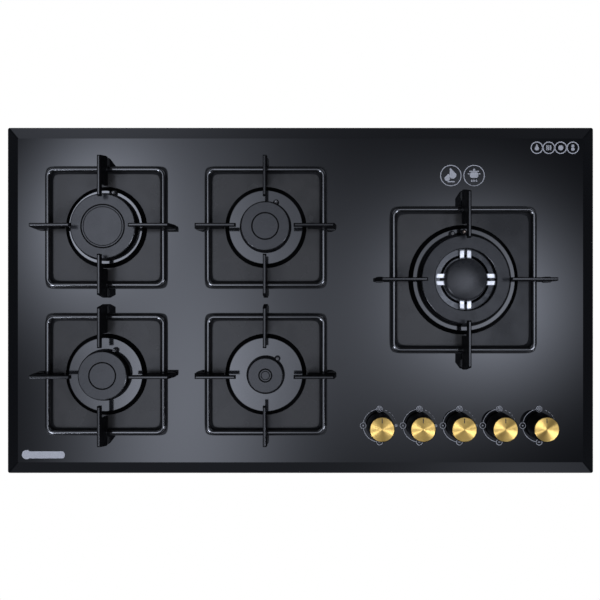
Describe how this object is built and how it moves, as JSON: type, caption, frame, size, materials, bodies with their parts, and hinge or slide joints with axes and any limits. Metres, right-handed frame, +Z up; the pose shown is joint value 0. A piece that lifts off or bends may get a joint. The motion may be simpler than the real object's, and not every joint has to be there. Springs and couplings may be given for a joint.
{
  "type": "gas cooktop",
  "caption": "Built-in bevelled-glass gas cooktop with lift-off pan supports, burner caps and crowns, a wok burner with two flame rings, and push-and-turn knobs.",
  "frame": {"origin": "middle of the cooktop on the worktop's top face, where the foam seal rests", "axes": "+X to the right along the long side, +Y to the back, +Z up out of the worktop"},
  "size_m": [0.885, 0.522, 0.11],
  "materials": {
    "black_glass": "black printed tempered glass, polished, bevelled edge",
    "foam": "black closed-cell foam strip",
    "galvanised_steel": "galvanised sheet, dull spangle",
    "plate_enamel": "glossy dark enamel",
    "cast_aluminium": "die-cast, lightly blasted",
    "crown_aluminium": "die-cast, heat-darkened, the ribs of the wok crown polished",
    "cap_enamel": "satin black enamel",
    "support_enamel": "black enamel, semi-gloss",
    "brass": "machined",
    "inlet_brass": "machined thread",
    "tap_casting": "die-cast",
    "pipe_aluminium": "drawn tube",
    "ceramic": "glazed ceramic, greyed by the flame above the glass",
    "sensor_metal": "heat-tinted steel and copper",
    "black_plastic": "moulded",
    "lead_rubber": "silicone-covered high-tension lead",
    "rubber": "moulded",
    "zinc_screws": "zinc plated",
    "spindle_steel": "turned",
    "knob_black": "black moulded, semi-gloss",
    "knob_face": "spun brush, clear coat"
  },
  "bodies": {
    "root": {"glass_panel": "black_glass", "worktop_seal": "foam", "burner_box": "galvanised_steel", "burner_bridges": "galvanised_steel", "drip_rings": "plate_enamel", "burner_cups": "cast_aluminium", "injectors": "brass", "gas_taps": "tap_casting", "gas_rail": "galvanised_steel", "gas_pipes": "pipe_aluminium", "gas_inlet": "inlet_brass", "cable_gland": "black_plastic", "spark_plugs": "ceramic", "thermocouple": "sensor_metal", "ignition_module": "black_plastic", "ignition_leads": "lead_rubber", "knob_seals": "rubber", "worktop_clamps": "galvanised_steel", "fasteners": "zinc_screws"},
    "support_rear_left": {"pan_support_rear_left": "support_enamel", "pan_support_feet_rear_left": "rubber"},
    "crown_rear_left": {"burner_crown_rear_left": "crown_aluminium"},
    "cap_rear_left": {"burner_cap_rear_left": "cap_enamel"},
    "support_front_left": {"pan_support_front_left": "support_enamel", "pan_support_feet_front_left": "rubber"},
    "crown_front_left": {"burner_crown_front_left": "crown_aluminium"},
    "cap_front_left": {"burner_cap_front_left": "cap_enamel"},
    "support_rear_centre": {"pan_support_rear_centre": "support_enamel", "pan_support_feet_rear_centre": "rubber"},
    "crown_rear_centre": {"burner_crown_rear_centre": "crown_aluminium"},
    "cap_rear_centre": {"burner_cap_rear_centre": "cap_enamel"},
    "support_front_centre": {"pan_support_front_centre": "support_enamel", "pan_support_feet_front_centre": "rubber"},
    "crown_front_centre": {"burner_crown_front_centre": "crown_aluminium"},
    "cap_front_centre": {"burner_cap_front_centre": "cap_enamel"},
    "support_wok": {"pan_support_wok": "support_enamel", "pan_support_feet_wok": "rubber"},
    "crown_wok": {"burner_crown_wok": "crown_aluminium"},
    "cap_wok": {"burner_cap_wok": "cap_enamel"},
    "cap_wok_inner": {"wok_inner_cap": "cap_enamel"},
    "plug_1": {"tap_plug_1": "brass"},
    "knob_1": {"tap_spindle_1": "spindle_steel", "knob_body_1": "knob_black", "knob_disc_1": "knob_face"},
    "plug_2": {"tap_plug_2": "brass"},
    "knob_2": {"tap_spindle_2": "spindle_steel", "knob_body_2": "knob_black", "knob_disc_2": "knob_face"},
    "plug_3": {"tap_plug_3": "brass"},
    "knob_3": {"tap_spindle_3": "spindle_steel", "knob_body_3": "knob_black", "knob_disc_3": "knob_face"},
    "plug_4": {"tap_plug_4": "brass"},
    "knob_4": {"tap_spindle_4": "spindle_steel", "knob_body_4": "knob_black", "knob_disc_4": "knob_face"},
    "plug_5": {"tap_plug_5": "brass"},
    "knob_5": {"tap_spindle_5": "spindle_steel", "knob_body_5": "knob_black", "knob_disc_5": "knob_face"}
  },
  "joints": [
    {"name": "support_lift_rear_left", "type": "slide", "parent": "root", "child": "support_rear_left", "axis": [0, 0, 1], "range_m": [0, 0.06]},
    {"name": "crown_lift_rear_left", "type": "slide", "parent": "root", "child": "crown_rear_left", "axis": [0, 0, 1], "range_m": [0, 0.008]},
    {"name": "cap_lift_rear_left", "type": "slide", "parent": "crown_rear_left", "child": "cap_rear_left", "axis": [0, 0, 1], "range_m": [0, 0.008]},
    {"name": "support_lift_front_left", "type": "slide", "parent": "root", "child": "support_front_left", "axis": [0, 0, 1], "range_m": [0, 0.06]},
    {"name": "crown_lift_front_left", "type": "slide", "parent": "root", "child": "crown_front_left", "axis": [0, 0, 1], "range_m": [0, 0.045]},
    {"name": "cap_lift_front_left", "type": "slide", "parent": "crown_front_left", "child": "cap_front_left", "axis": [0, 0, 1], "range_m": [0, 0.045]},
    {"name": "support_lift_rear_centre", "type": "slide", "parent": "root", "child": "support_rear_centre", "axis": [0, 0, 1], "range_m": [0, 0.06]},
    {"name": "crown_lift_rear_centre", "type": "slide", "parent": "root", "child": "crown_rear_centre", "axis": [0, 0, 1], "range_m": [0, 0.045]},
    {"name": "cap_lift_rear_centre", "type": "slide", "parent": "crown_rear_centre", "child": "cap_rear_centre", "axis": [0, 0, 1], "range_m": [0, 0.045]},
    {"name": "support_lift_front_centre", "type": "slide", "parent": "root", "child": "support_front_centre", "axis": [0, 0, 1], "range_m": [0, 0.06]},
    {"name": "crown_lift_front_centre", "type": "slide", "parent": "root", "child": "crown_front_centre", "axis": [0, 0, 1], "range_m": [0, 0.045]},
    {"name": "cap_lift_front_centre", "type": "slide", "parent": "crown_front_centre", "child": "cap_front_centre", "axis": [0, 0, 1], "range_m": [0, 0.045]},
    {"name": "support_lift_wok", "type": "slide", "parent": "root", "child": "support_wok", "axis": [0, 0, 1], "range_m": [0, 0.06]},
    {"name": "crown_lift_wok", "type": "slide", "parent": "root", "child": "crown_wok", "axis": [0, 0, 1], "range_m": [0, 0.011]},
    {"name": "cap_lift_wok", "type": "slide", "parent": "crown_wok", "child": "cap_wok", "axis": [0, 0, 1], "range_m": [0, 0.011]},
    {"name": "cap_lift_wok_inner", "type": "slide", "parent": "crown_wok", "child": "cap_wok_inner", "axis": [0, 0, 1], "range_m": [0, 0.045]},
    {"name": "knob_turn_1", "type": "hinge", "parent": "root", "child": "plug_1", "pos_m": [0.119, -0.1883, -0.03], "axis": [0, 0, 1], "range_deg": [0, 180]},
    {"name": "knob_push_1", "type": "slide", "parent": "plug_1", "child": "knob_1", "axis": [0, 0, -1], "range_m": [0, 0.0035], "stiffness_N_per_m": 1500, "springref_m": -0.004},
    {"name": "knob_turn_2", "type": "hinge", "parent": "root", "child": "plug_2", "pos_m": [0.179, -0.1883, -0.03], "axis": [0, 0, 1], "range_deg": [0, 180]},
    {"name": "knob_push_2", "type": "slide", "parent": "plug_2", "child": "knob_2", "axis": [0, 0, -1], "range_m": [0, 0.0035], "stiffness_N_per_m": 1500, "springref_m": -0.004},
    {"name": "knob_turn_3", "type": "hinge", "parent": "root", "child": "plug_3", "pos_m": [0.239, -0.1883, -0.03], "axis": [0, 0, 1], "range_deg": [0, 180]},
    {"name": "knob_push_3", "type": "slide", "parent": "plug_3", "child": "knob_3", "axis": [0, 0, -1], "range_m": [0, 0.0035], "stiffness_N_per_m": 1500, "springref_m": -0.004},
    {"name": "knob_turn_4", "type": "hinge", "parent": "root", "child": "plug_4", "pos_m": [0.299, -0.1883, -0.03], "axis": [0, 0, 1], "range_deg": [0, 180]},
    {"name": "knob_push_4", "type": "slide", "parent": "plug_4", "child": "knob_4", "axis": [0, 0, -1], "range_m": [0, 0.0035], "stiffness_N_per_m": 1500, "springref_m": -0.004},
    {"name": "knob_turn_5", "type": "hinge", "parent": "root", "child": "plug_5", "pos_m": [0.359, -0.1883, -0.03], "axis": [0, 0, 1], "range_deg": [0, 180]},
    {"name": "knob_push_5", "type": "slide", "parent": "plug_5", "child": "knob_5", "axis": [0, 0, -1], "range_m": [0, 0.0035], "stiffness_N_per_m": 1500, "springref_m": -0.004}
  ]
}
